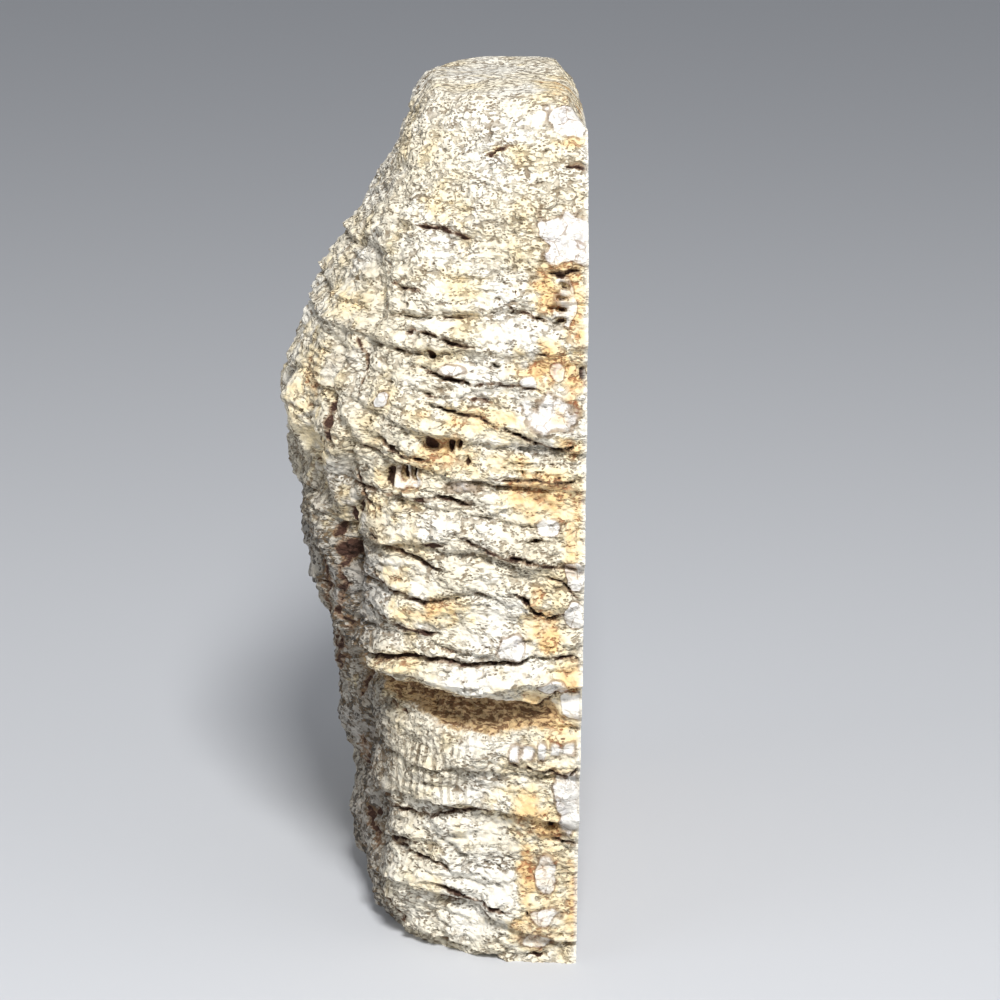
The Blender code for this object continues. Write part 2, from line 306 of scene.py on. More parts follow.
# cracks under the ledges: points across and up, half width, depth
cracks = (
    (((-11.2, 98.2), (-8.0, 97.3), (-4.5, 95.7)), 0.40, 1.6),
    (((-26.9, 94.5), (-22.0, 93.4), (-15.7, 92.2)), 0.42, 1.7),
    (((-25.4, 89.2), (-20.0, 87.6), (-15.7, 86.2), (-12.5, 86.4), (-6.7, 85.3)), 0.48, 2.3),
    (((-11.2, 79.5), (-7.5, 78.4), (-4.5, 77.0), (-2.5, 76.9), (-0.3, 78.0)), 0.5, 2.4),
    (((-30.6, 70.2), (-26.0, 69.4), (-20.0, 69.3), (-15.7, 68.6)), 0.36, 1.5),
    (((-32.1, 64.6), (-28.0, 61.8), (-24.0, 60.0), (-20.2, 58.6)), 0.42, 1.7),
    (((-23.5, 62.4), (-20.0, 61.9)), 0.7, 1.3),
    (((-9.7, 55.6), (-7.4, 54.6), (-6.6, 52.6), (-4.5, 51.6), (-2.6, 52.2)), 0.42, 1.9),
    (((-4.5, 57.4), (-2.0, 56.4), (0.0, 54.0)), 0.35, 1.2),
    (((-32.9, 47.4), (-28.0, 46.4), (-20.2, 45.4), (-16.0, 44.6), (-11.2, 44.7), (-4.5, 46.0)),
     0.55, 2.9),
    (((-4.5, 46.0), (-2.0, 46.6), (0.0, 45.6)), 0.35, 1.2),
    (((-29.9, 24.2), (-26.0, 22.6), (-21.7, 22.0), (-16.0, 23.0), (-11.2, 22.0)), 0.5, 1.6),
    (((-29.1, 19.0), (-25.0, 16.8), (-18.7, 13.8)), 0.6, 2.0),
    (((-5.2, 103.3), (-2.6, 102.9), (0.0, 103.5)), 0.42, 1.8),
    (((-4.5, 18.2), (-2.0, 17.5), (0.4, 17.7)), 0.42, 1.7),
    (((-3.4, 119.9), (0.4, 118.9)), 0.35, 0.9),
    (((-26.0, 110.2), (-20.2, 109.4), (-15.0, 108.0)), 0.38, 0.9),
    (((-28.0, 101.5), (-24.0, 100.6)), 0.35, 0.8),
    (((-14.5, 120.6), (-10.0, 122.4)), 0.5, 1.0),
    (((-34.0, 74.5), (-33.0, 70.5), (-31.5, 66.5)), 0.45, 1.8),
    (((-34.6, 94.0), (-33.5, 90.0), (-33.0, 84.0)), 0.35, 0.8),
    (((-37.5, 87.0), (-36.5, 81.0), (-37.0, 76.5)), 0.35, 0.8),
    (((-37.6, 67.0), (-36.4, 60.0), (-36.8, 54.0), (-35.4, 48.0)), 0.45, 0.8),
    (((-34.9, 51.0), (-33.8, 44.0), (-34.2, 39.0)), 0.4, 0.8),
    (((-34.2, 35.0), (-33.0, 29.0), (-33.3, 23.5), (-31.8, 17.0)), 0.45, 0.8),
    (((-39.5, 62.0), (-38.2, 55.0), (-37.0, 47.0), (-35.8, 40.0)), 0.35, 0.6),
    (((-30.5, 79.0), (-26.5, 75.6), (-22.5, 74.6)), 0.4, 1.2),
    (((-22.0, 83.4), (-16.0, 81.4), (-12.5, 79.6)), 0.42, 1.2),
    (((-31.5, 59.5), (-28.4, 55.2), (-24.0, 53.6), (-18.5, 54.4)), 0.36, 1.1),
    (((-31.5, 53.0), (-27.0, 49.6), (-22.0, 48.8)), 0.36, 1.2),
    (((-18.5, 64.0), (-12.0, 61.2), (-5.0, 59.8), (0.4, 58.8)), 0.36, 1.1),
    (((-13.0, 72.6), (-8.0, 71.6), (0.2, 72.2)), 0.33, 0.9),
    (((-29.5, 13.0), (-26.5, 9.6), (-24.8, 6.2)), 0.4, 1.1),
    (((-20.5, 12.0), (-14.5, 9.0), (-9.6, 8.2)), 0.36, 0.9),
    (((-10.2, 30.6), (-6.0, 29.2), (-1.5, 28.2), (0.4, 30.4)), 0.36, 1.2),
    (((-3.0, 40.8), (-6.4, 38.2), (-8.6, 37.6)), 0.42, 1.4),
)

# open hollows: across, up, half width, half height, depth
hollows = (
    (-23.2, 90.8, 1.0, 0.9, 2.2),
    (-13.4, 89.4, 0.4, 0.4, 1.2),
    (-6.0, 90.7, 1.0, 0.32, 1.2),
    (0.4, 87.7, 0.9, 1.5, 1.9),
    (-22.8, 77.4, 1.5, 1.15, 2.2),
    (-20.3, 76.9, 0.75, 1.5, 2.2),
    (-18.9, 77.2, 0.4, 1.0, 1.8),
    (-17.6, 74.6, 0.45, 0.9, 1.3),
    (-29.0, 72.2, 0.85, 1.8, 2.2),
    (-26.8, 72.9, 0.65, 1.2, 2.0),
    (-25.2, 72.9, 0.45, 1.0, 1.8),
    (-6.4, 62.9, 1.2, 0.42, 2.0),
    (-36.2, 61.4, 1.7, 2.4, 1.3),
    (-35.4, 66.2, 0.6, 1.6, 0.9),
    (-35.0, 53.6, 0.5, 1.8, 0.9),
    (-34.2, 47.6, 0.5, 1.2, 0.9),
    (-4.5, 20.2, 0.8, 0.65, 2.0),
    (-6.4, 0.9, 1.8, 0.35, 0.8),
    (-31.8, 30.5, 0.4, 1.0, 1.0),
    (-32.3, 22.0, 0.4, 0.8, 1.0),
    (-34.0, 67.5, 0.8, 1.6, 1.6),
    (-10.0, 100.6, 0.5, 0.5, 0.7),
    (-16.0, 18.6, 0.35, 0.35, 0.9),
    (-6.8, 8.0, 0.35, 0.6, 1.0),
)

# knobs and blocks: across, up, half width, half height, rise, squareness of the outline
knobs = (
    (-1.9, 107.5, 3.3, 3.6, 0.9, 5),
    (-1.5, 126.6, 3.0, 2.2, 0.9, 4),
    (-4.0, 81.8, 4.3, 3.2, 1.9, 5),
    (-29.4, 84.2, 1.0, 1.1, 1.3, 3),
    (-27.0, 83.4, 1.2, 1.3, 0.7, 3),
    (-7.5, 21.7, 3.0, 3.1, 1.2, 3),
    (-1.6, 24.2, 2.1, 5.2, 0.8, 5),
    (-4.5, 7.0, 2.3, 1.6, 0.7, 5),
    (-6.0, 3.2, 3.0, 1.3, 0.6, 3),
    (-4.8, 13.4, 1.6, 3.4, 0.6, 3),
    (-37.0, 112.0, 4.5, 4.5, 0.9, 2),
    (-24.0, 105.0, 6.0, 3.5, 0.9, 2),
    (-12.0, 112.0, 6.5, 3.0, 0.8, 2),
    (-20.0, 53.0, 7.0, 3.0, 1.0, 3),
    (-16.0, 31.0, 7.0, 3.6, 0.9, 2),
    (-24.0, 27.5, 5.5, 3.0, 1.2, 3),
    (-24.0, 12.5, 5.0, 3.4, 1.2, 3),
    (-22.5, 20.2, 4.6, 1.9, 1.0, 3),
    (-5.6, 53.8, 3.0, 2.3, 0.7, 3),
    (-6.6, 60.6, 2.8, 1.7, 0.6, 3),
    (0.2, 57.6, 1.3, 2.4, 0.6, 3),
    (-11.6, 47.6, 3.6, 1.9, 0.7, 3),
    (-19.0, 57.2, 2.8, 1.3, 0.6, 3),
    (-24.5, 79.0, 4.4, 2.2, 0.8, 3),
    (-36.5, 69.0, 2.0, 2.6, 1.2, 2),
    (-34.0, 80.0, 2.2, 4.0, 1.0, 3),
    (-33.0, 39.0, 1.8, 2.2, 1.0, 3),
)

# ladders of thin partitions: first and last gap across and up, gaps, half width and
# half height of one gap, depth, and how open it is: 1 a slot, 0 only outlined
ladders = (
    ((-2.4, 101.2), (-3.1, 96.0), 4, 0.95, 0.48, 1.6, 1.0),
    ((-8.6, 75.9), (-3.2, 75.5), 4, 0.62, 0.34, 0.9, 0.9),
    ((-8.9, 74.6), (-2.6, 74.2), 5, 0.60, 0.32, 0.9, 0.9),
    ((-8.4, 73.3), (-3.0, 72.8), 4, 0.62, 0.30, 0.9, 0.9),
    ((-9.4, 31.4), (-1.4, 32.2), 5, 1.12, 1.55, 0.7, 0.0),
    ((-28.6, 70.0), (-17.0, 69.0), 8, 0.45, 0.22, 0.9, 0.7),
)

# ochre and rust: across, up, half width, half height, strength
stains = (
    (-3.0, 134.4, 4.6, 4.4, 0.9),
    (-1.8, 123.0, 3.4, 1.2, 0.9),
    (-12.0, 121.5, 3.4, 1.2, 0.5),
    (-20.0, 113.0, 4.0, 3.0, 0.35),
    (-9.0, 112.0, 4.0, 4.0, 0.35),
    (-2.4, 103.6, 4.2, 1.3, 1.0),
    (-5.0, 100.0, 2.4, 3.4, 1.15),
    (-0.6, 96.6, 2.0, 6.4, 0.9),
    (-5.4, 89.2, 4.4, 3.4, 1.2),
    (-0.8, 86.6, 1.8, 4.4, 0.9),
    (-3.4, 81.6, 1.9, 1.7, 1.1),
    (-1.0, 77.0, 2.4, 1.6, 0.9),
    (-16.5, 81.4, 6.5, 1.9, 0.7),
    (-21.4, 75.6, 6.5, 3.8, 0.7),
    (-19.6, 77.8, 3.2, 2.2, 1.0),
    (-27.6, 72.4, 3.4, 2.4, 0.7),
    (-5.6, 69.8, 7.0, 4.2, 0.95),
    (-9.0, 74.4, 2.0, 1.4, 0.7),
    (-0.8, 62.0, 2.0, 6.0, 0.8),
    (-22.0, 52.8, 6.4, 2.2, 0.8),
    (-28.0, 57.5, 4.0, 2.0, 0.5),
    (-5.0, 50.2, 2.8, 4.6, 0.95),
    (-4.2, 47.4, 1.4, 1.4, 1.4),
    (-1.4, 42.4, 2.2, 5.0, 0.85),
    (-2.6, 35.6, 3.4, 3.4, 0.9),
    (-6.6, 39.6, 2.4, 1.6, 0.9),
    (-7.6, 22.8, 3.6, 4.2, 1.0),
    (-4.6, 19.6, 2.0, 1.8, 1.3),
    (-7.4, 12.8, 1.4, 5.0, 1.05),
    (-3.6, 12.8, 3.4, 6.4, 0.6),
    (-0.6, 9.0, 1.6, 7.0, 0.9),
    (-6.0, 4.8, 5.0, 3.4, 0.8),
    (-25.0, 40.4, 8.0, 2.2, 0.6),
    (-2.4, 28.4, 4.0, 1.8, 0.7),
    (-27.0, 45.6, 4.0, 1.6, 0.55),
    (-30.0, 68.0, 5.0, 2.0, 0.45),
    (-41.0, 88.0, 3.4, 8.0, 0.55),
    (-40.0, 76.0, 3.0, 5.0, 0.5),
    (-35.5, 66.0, 3.4, 4.4, 0.35),
    (-36.0, 100.0, 4.0, 5.0, 0.4),
)

# smooth white crystal patches: across, up, half width, half height, strength
crystals = (
    (-2.0, 108.0, 4.2, 4.5, 1.0),
    (-1.9, 126.4, 3.6, 2.5, 1.0),
    (-2.5, 98.6, 2.0, 3.6, 0.9),
    (-4.2, 82.0, 4.6, 3.4, 0.62),
    (-8.0, 87.0, 1.4, 1.2, 0.7),
    (-3.4, 88.4, 1.2, 1.6, 0.7),
    (-29.4, 84.2, 1.3, 1.4, 0.9),
    (-19.4, 88.6, 2.6, 1.0, 0.6),
    (-0.4, 57.7, 1.7, 2.2, 1.0),
    (-0.6, 52.0, 1.5, 2.1, 1.0),
    (-4.6, 65.0, 2.4, 1.5, 0.65),
    (-1.4, 24.2, 2.2, 5.4, 0.75),
    (-4.9, 13.5, 1.9, 3.4, 0.65),
    (-6.0, 3.4, 3.2, 1.3, 0.65),
    (-4.5, 7.2, 2.4, 1.7, 0.65),
    (-10.0, 47.2, 2.8, 2.0, 0.7),
    (-3.7, 41.8, 2.0, 1.4, 0.8),
    (-1.0, 38.8, 1.6, 2.8, 0.8),
    (-18.0, 71.0, 3.6, 1.4, 0.5),
    (-26.6, 72.6, 3.0, 1.9, 0.7),
)


def ledges(points, run):
    wander = lattice(points / 21.0, 3) * 3.4 + lattice(points / 8.0, 4) * 1.6
    wander += lattice(points / 2.2, 5) * 0.30
    slope = -0.07 + 0.27 * smooth(86.0, 108.0, points[:, 2])
    course = (points[:, 2] + wander + run * slope) / broad["ledgePitch"]
    number = np.floor(course)
    climb = course - number
    shift = np.mod(number * 0.618, 1.0) * 5.0
    stretch = np.mod(run / broad["ledgeLength"] + shift, 1.0)
    lip = smooth(0.0, 0.16, climb) * (1.0 - 0.75 * climb)
    across = 0.45 + 0.55 * np.sin(math.pi * stretch) ** 0.6
    size = 0.75 + 0.4 * np.sin(number * 2.3)
    return broad["ledgeDepth"] * (lip * across * size - 0.3), climb, slope


def patch(across, up, spot, wobble, power=2.0):
    x, z, halfWide, halfHigh = spot[:4]
    gap = np.abs((across - x) / halfWide + wobble) ** power
    gap += np.abs((up - z) / halfHigh - wobble) ** power
    return np.exp(-gap ** 1.5)


def relief(grid):   # how far the skin stands out, and what shows on it
    rows, columns = grid.shape[:2]
    points = grid.reshape(-1, 3)
    step = np.linalg.norm(np.diff(grid, axis=1), axis=2)
    run = np.concatenate((np.zeros((rows, 1)), np.cumsum(step, axis=1)), axis=1).ravel()
    across, up = seenFromFront(points)
    share = np.tile(np.linspace(0, 1, columns), rows)
    bend = body["frontShare"]
    facing = 1.0 - smooth(bend * 0.75, bend * 0.92, share)
    onCrest = smooth(*body["crestBand"], points[:, 2] / body["height"])
    facing *= 1.0 - onCrest * smooth(0.42, 0.56, points[:, 1] / body["depth"])
    nearTop = smooth(*body["topBand"], points[:, 2] / body["height"])
    calmTop = 1.0 - 0.55 * nearTop

    out, climb, slope = ledges(points, run)
    onSide = smooth(*broad["sideFrom"], run)
    out *= calmTop * (1.0 - 0.35 * onSide * facing)
    stir = np.column_stack([lattice(points / 5.0, 14 + k) for k in range(3)])
    swirl = points + broad["swirl"] * stir
    near, second, tone = nearestSeed(swirl / broad["lumpSize"], 11)
    lump = smooth(0.0, 0.80, second - near)
    out += onSide * broad["lumpDepth"] * (lump * (0.55 + 0.45 * tone) - 0.45)
    # painted shade along the seams between the side's lumps and the front's blocks, and along the
    # valleys' folds
    creaseShade = 0.8 * smooth(33.0, 40.0, run) * smooth(0.07, 0.0, second - near)
    near, second, tone = nearestSeed(swirl / broad["blockSize"], 17)
    block = smooth(0.0, 0.45, second - near)
    out += (1 - onSide) * calmTop * broad["blockDepth"] * (block * (0.5 + 0.5 * tone) - 0.45)
    creaseShade = np.maximum(creaseShade, 0.6 * (1 - onSide) * calmTop * smooth(0.05, 0.0, second - near))
    out += broad["grain"] * lattice(points / 3.1, 21) + 0.7 * lattice(points / 9.0, 22)

    # a broken crevice under each ledge, and thin growth layers between them
    askew = points @ askewAxes.T
    fromLip = np.minimum(climb, 1 - climb) * broad["ledgePitch"]
    broken = lattice(points / (5.0, 5.0, 4.0), 6) + 0.4 * lattice(askew / 1.6, 7)
    broken = smooth(0.05, 0.45, broken)
    broken *= (1 - onCrest) * calmTop * (0.35 + 0.65 * smooth(2.0, 12.0, run))
    out -= fine["creviceDepth"] * broken * np.exp(-(fromLip / fine["creviceHalf"]) ** 2)
    # painted shade along each ledge's lip
    crevice = broken * np.clip(1 - fromLip / 1.4, 0, 1)
    nearLip = np.exp(-(fromLip / 0.9) ** 2)
    layer = points[:, 2] + 0.25 * run * slope + 2.0 * lattice(points / 9.0, 8)
    layer = np.sin((layer + 0.5 * lattice(askew / 2.4, 9)) * 2 * math.pi / broad["layerPitch"])
    layer *= smooth(-0.3, 0.4, lattice(askew / 5.0, 10)) * (1 - onCrest)
    nearLip *= 1 - onCrest
    out += broad["layerDepth"] * layer
    rag = layered(askew / 1.7, 41, 2)
    wobbleX = across + 0.35 * rag + 0.9 * lattice(askew / 5.0, 45)
    wobbleZ = up + 0.30 * layered(askew / 1.9, 43, 2) + 0.6 * lattice(askew / 4.4, 46)
    cleftShade = crevice
    jag = 0.16 * lattice(askew / 0.9, 48)
    for line, half, depth in cracks:
        gap, over, along = fromLine(wobbleX, wobbleZ, line)
        gap = np.abs(gap + jag)
        fade = smooth(0.0, 0.12, along) * (1.0 - 0.6 * smooth(0.85, 1.0, along))
        width = fine["crackHalf"] * half * (0.60 + 0.60 * lattice(askew / 2.6, 47))
        cut = facing * np.exp(-(gap / width) ** 2) * (0.35 + 0.65 * fade)
        out -= fine["crackDepth"] * depth * cut
        lipShape = np.exp(-((over - 3.0 * half) / (2.6 * half)) ** 2)
        out += facing * fine["crackLip"] * depth * lipShape * np.exp(-(gap / half / 5.0) ** 2)
        below = np.exp(-((over + 2.4 * half) / (1.9 * half)) ** 2)
        below = below * np.exp(-(gap / half / 4.0) ** 2)
        out -= facing * fine["crackUnder"] * depth * below
        # painted shade along the crack, a little wider than its cut
        soft = np.clip(1 - np.maximum(gap - 0.45 * width, 0) / 1.4, 0, 1)
        cleftShade = np.maximum(cleftShade, facing * soft * (0.80 + 0.20 * fade))

    gap, over = fromLine(wobbleX, wobbleZ, broad["groove"])[:2]
    trough = facing * np.exp(-(gap / broad["grooveHalf"]) ** 4)
    fall = 0.55 + 0.45 * smooth(-broad["grooveHalf"], 0.6 * broad["grooveHalf"], over)
    fade = 0.40 + 0.60 * smooth(0.5, -20.0, across)
    out -= broad["grooveDepth"] * trough * fade * fall   # deepest under the ledge
    gap = fromLine(wobbleX, wobbleZ, broad["tube"])[0]
    out += facing * broad["tubeHeight"] * np.exp(-(gap / broad["tubeHalf"]) ** 2)
    for line, half, depth in valleys:
        gap = fromLine(wobbleX, wobbleZ, line)[0]
        out -= facing * depth * np.exp(-(gap / half) ** 2)
        fold = 0.3 * depth / half * facing * np.exp(-(gap / 0.6) ** 2) * broken
        creaseShade = np.maximum(creaseShade, fold)

    opening = np.zeros(len(points))
    for x, z, halfWide, halfHigh, depth in hollows:
        gap = np.hypot((wobbleX - x) / halfWide, (wobbleZ - z) / halfHigh)
        cut = facing * np.exp(-gap ** 4)
        out -= depth * cut
        opening = np.maximum(opening, cut)
    for x, z, halfWide, halfHigh, rise, power in knobs:
        gap = np.abs((wobbleX - x) / halfWide) ** power
        gap = gap + np.abs((wobbleZ - z) / halfHigh) ** power
        out += facing * rise * np.exp(-gap ** (3.0 / power))
    boxes = np.zeros(len(points))
    for first, last, gaps, halfWide, halfHigh, depth, opened in ladders:
        for part in np.linspace(0.0, 1.0, gaps):
            x = first[0] + (last[0] - first[0]) * part
            z = first[1] + (last[1] - first[1]) * part
            odd = 1.0 + 0.22 * math.sin(9.0 * part + x)
            gap = np.abs((across - x + 0.25 * rag) / halfWide / odd) ** 4
            gap += np.abs((up - z + 0.25 * rag) / halfHigh * odd) ** 4
            cut = facing * np.exp(-gap) * opened
            out -= depth * cut
            opening = np.maximum(opening, cut * 0.9)
            box = facing * (1 - opened) * np.exp(-0.8 * gap ** 0.75)
            out += 0.6 * depth * box
            boxes = np.maximum(boxes, 0.58 * box)

    smoothHere = np.zeros(len(points))
    uneven = 0.25 * rag + 0.22 * lattice(askew / 1.9, 49)
    for spot in crystals:
        smoothHere = np.maximum(smoothHere, spot[4] * patch(across, up, spot, uneven, 2.6))
    smoothHere = facing * np.maximum(smoothHere, boxes) * (1 - opening)
    rust = np.zeros(len(points))
    for spot in stains:
        rust = np.maximum(rust, spot[4] * patch(across, up, spot, 0.45 * rag))
    rust *= facing
    atBack = smooth(bend * 0.98, bend * 1.15, share)
    rust += 0.55 * atBack * smooth(0.35, 0.75, layered(points / 9.0, 55, 3))

    ribGap = ((across - ribs["across"]) / ribs["halfWide"]) ** 4
    ribGap = ribGap + ((up - ribs["up"]) / ribs["halfHigh"]) ** 4
    ribZone = facing * np.exp(-ribGap)

    # crumbly grain: short flaky ridges, scattered pits, fine crumbs and winding tracks
    rough = (1.0 - 0.6 * np.clip(smoothHere, 0, 1)) * (1.0 - 0.6 * ribZone)
    toBack = np.repeat(run.reshape(rows, columns)[:, -1], columns) - run
    rough *= 0.4 + 0.6 * smooth(0.0, 2.5, np.minimum(run, toBack))
    squat = (points * (1.0, 1.0, 1.7)) @ askewAxes.T
    flaky = np.abs(lattice(squat * 0.55 + 3.7, 61)) + 0.6 * np.abs(lattice(squat * 1.1, 62))
    out += rough * (fine["flakeDepth"] - fine["flakeLessAtSide"] * onSide) * (0.42 - flaky)
    nearest, second, tone = nearestSeed(points / fine["pitSpacing"], 71)
    pit = smooth(0.42, 0.12, nearest) * smooth(0.35, 0.6, tone)
    out -= rough * fine["pitDepth"] * pit
    crumb, crumbNext = nearestSeed(points / fine["crumbSize"], 75)[:2]
    seam = smooth(0.16, 0.0, crumbNext - crumb)
    out += rough * fine["crumbDepth"] * (0.5 - crumb) - rough * fine["crumbDepth"] * seam
    track = smooth(0.09, 0.0, np.abs(lattice(squat * 0.9, 64)))
    out -= rough * fine["trackDepth"] * track

    # dark: painted shade in the crevices, cracks, hollows and open slots
    dark = np.maximum(cleftShade, fine["hollowDark"] * opening)
    # the rock's dark specks, with painted shade in its pits, tracks and creases
    fleckAndShade = np.clip(0.7 * pit + 0.3 * track, 0, 1) * rough
    fleckAndShade = np.clip(fleckAndShade + 0.5 * creaseShade, 0, 1)
    # rim: a painted highlight along the edge of the sawn face
    rim = np.exp(-(run / 0.45) ** 2)
    # side: painted shade on the lower outer side, which faces away from the key light; full below 58
    # mm, weak above 78 mm and at the back
    side = onSide * (0.15 + 0.85 * smooth(78.0, 58.0, points[:, 2]))
    side *= 1.0 - 0.75 * atBack
    busy = 0.5 + 0.5 * nearLip - 0.35 * layer + 0.3 * lattice(points / 7.0, 12)
    busy = np.clip(busy + 0.35 * nearTop, 0, 1.2)
    shape = (rows, columns)
    marks = dict(dark=dark, rust=rust, crystal=smoothHere, fleckAndShade=fleckAndShade,
                 trough=trough, side=side, rim=rim, busy=busy, ribs=ribZone)
    return out.reshape(shape), {name: value.reshape(shape) for name, value in marks.items()}


def coralSkin():
    grid = skinGrid()
    out, marks = relief(grid)
    solidRows = body["solidSideRows"] + body["solidCrestRows"]
    sideShare = (body["solidSideRows"] - 1) / (solidRows - 1)
    level = np.concatenate((np.linspace(0, sideShare, body["rows"] - body["crestRows"]),
                            np.linspace(sideShare, 1.0, body["crestRows"] + 1)[1:]))
    # the relief fades to a fifth over the crest
    out = out * (1.0 - 0.8 * smooth(*body["reliefFade"], level))[:, None]
    grid = grid + outward(grid) * out[..., None]

    # the chipped bevel at the top of the cut, then the straight edges of cut and foot
    bevel = body["height"] - body["bevelDrop"]
    bevel = bevel + np.abs(grid[..., 0]) * body["bevelDrop"] / body["bevelReach"]
    flatGrid = grid.reshape(-1, 3)
    wobble = 0.3 * lattice(flatGrid / 2.3, 31) + 0.8 * lattice(flatGrid / 7.0, 32)
    wobble = wobble.reshape(grid.shape[:2])
    sag = 0.7 * (1.0 + lattice(flatGrid / 6.0, 33).reshape(grid.shape[:2]))
    grid[..., 2] -= sag * smooth(*body["crestBand"], grid[..., 2] / body["height"])
    grid[..., 2] = np.minimum(grid[..., 2], bevel + wobble)
    grid[..., 0] = np.minimum(grid[..., 0], -0.03)
    for edge in (grid[:, 0], grid[:, -1], grid[-1]):
        edge[:, 0] = 0.0
    grid[..., 2] = np.maximum(grid[..., 2], 0.08)
    grid[0, :, 2] = 0.0

    # onto the solid's own box: against its sawn face, midway from front to back
    grid[..., 0] += highCorner[0]
    middle = (grid[..., 1].min() + grid[..., 1].max()) / 2
    grid[..., 1] += (lowCorner[1] + highCorner[1]) / 2 - middle
    grid = np.minimum(np.maximum(grid, lowCorner), highCorner)
    return grid, marks


def buildCoral():
    grid, marks = coralSkin()
    rows, columns = grid.shape[:2]
    points = (grid * mm).reshape(-1, 3)
    number = np.arange(rows * columns).reshape(rows, columns)
    quads = np.stack((number[:-1, :-1], number[1:, :-1], number[1:, 1:], number[:-1, 1:]), -1)
    quads = quads.reshape(-1, 4)
    # the sawn face and the foot are one outline each, cut into triangles further down
    rim = np.concatenate((number[:, 0], number[-1, 1:-1], number[::-1, -1]))
    mesh = bpy.data.meshes.new("coral_surface")
    faces = [tuple(face) for face in quads.tolist()]
    faces.append(tuple(rim.tolist()))
    faces.append(tuple(number[0].tolist()))
    mesh.from_pydata(points.tolist(), [], faces)
    work = bmesh.new()
    work.from_mesh(mesh)
    bmesh.ops.recalc_face_normals(work, faces=work.faces)
    bmesh.ops.triangulate(work, faces=[face for face in work.faces if len(face.verts) > 4])
    work.to_mesh(mesh)
    work.free()
    for name, value in marks.items():
        layer = mesh.attributes.new(name, "FLOAT", "POINT")
        layer.data.foreach_set("value", value.ravel().astype(np.float32))
    mesh.shade_smooth()
    mesh.set_sharp_from_angle(angle=math.radians(body["sharpAngle"]))
    coral = bpy.data.objects.new("coral_surface", mesh)
    bpy.context.scene.collection.objects.link(coral)
    triangles = sum(len(face.vertices) - 2 for face in mesh.polygons)
    print("coral: surface made,", triangles, "triangles")
    return coral


class Val:   # a node socket that plain arithmetic works on
    def __init__(self, tree, socket):
        self.tree = tree
        self.socket = socket

    def join(self, kind, first, second=None):
        node = self.tree.nodes.new("ShaderNodeMath")
        node.operation = kind
        for slot, value in zip(node.inputs, (first, second)):
            if isinstance(value, Val):
                self.tree.links.new(value.socket, slot)
            elif value is not None:
                slot.default_value = value
        return Val(self.tree, node.outputs[0])

    def __add__(self, other):
        return self.join("ADD", self, other)

    def __radd__(self, other):
        return self.join("ADD", other, self)

    def __sub__(self, other):
        return self.join("SUBTRACT", self, other)

    def __rsub__(self, other):
        return self.join("SUBTRACT", other, self)

    def __mul__(self, other):
        return self.join("MULTIPLY", self, other)

    def __rmul__(self, other):
        return self.join("MULTIPLY", other, self)

    def size(self):
        return self.join("ABSOLUTE", self)

    def wave(self):
        return self.join("SINE", self)

    def clamped(self):
        node = self.tree.nodes.new("ShaderNodeClamp")
        self.tree.links.new(self.socket, node.inputs[0])
        return Val(self.tree, node.outputs[0])

    def largest(self, other):
        return self.join("MAXIMUM", self, other)


class Maker:   # builds one material
    def __init__(self, name):
        self.material = bpy.data.materials.new(name)
        self.material.use_nodes = True
        self.tree = self.material.node_tree
        self.shader = self.tree.nodes["Principled BSDF"]

    def node(self, kind, settings=None, out=0, **values):
        node = self.tree.nodes.new("ShaderNode" + kind)
        for name, value in (settings or {}).items():
            setattr(node, name, value)
        for name, value in values.items():
            slot = node.inputs[int(name[1:])] if name[1:].isdigit() else node.inputs[name]
            if isinstance(value, Val):
                self.tree.links.new(value.socket, slot)
            else:
                slot.default_value = value
        return Val(self.tree, node.outputs[out])

    def mark(self, name):
        return self.node("Attribute", dict(attribute_name=name), out=2)

    def band(self, value, low, high, toLow=0.0, toHigh=1.0):
        settings = dict(interpolation_type="SMOOTHSTEP")
        return self.node("MapRange", settings, i0=value, i1=low, i2=high, i3=toLow, i4=toHigh)

    def mix(self, share, first, second, kind="MIX"):
        settings = dict(data_type="RGBA", blend_type=kind)
        return self.node("Mix", settings, out=2, i0=share, i6=first, i7=second)

    def noise(self, place, scale, detail=4.0, rough=0.55):
        return self.node("TexNoise", Vector=place, Scale=scale, Detail=detail, Roughness=rough)

    def feed(self, **values):
        for name, value in values.items():
            slot = self.shader.inputs[name.replace("_", " ")]
            if isinstance(value, Val):
                self.tree.links.new(value.socket, slot)
            else:
                slot.default_value = value


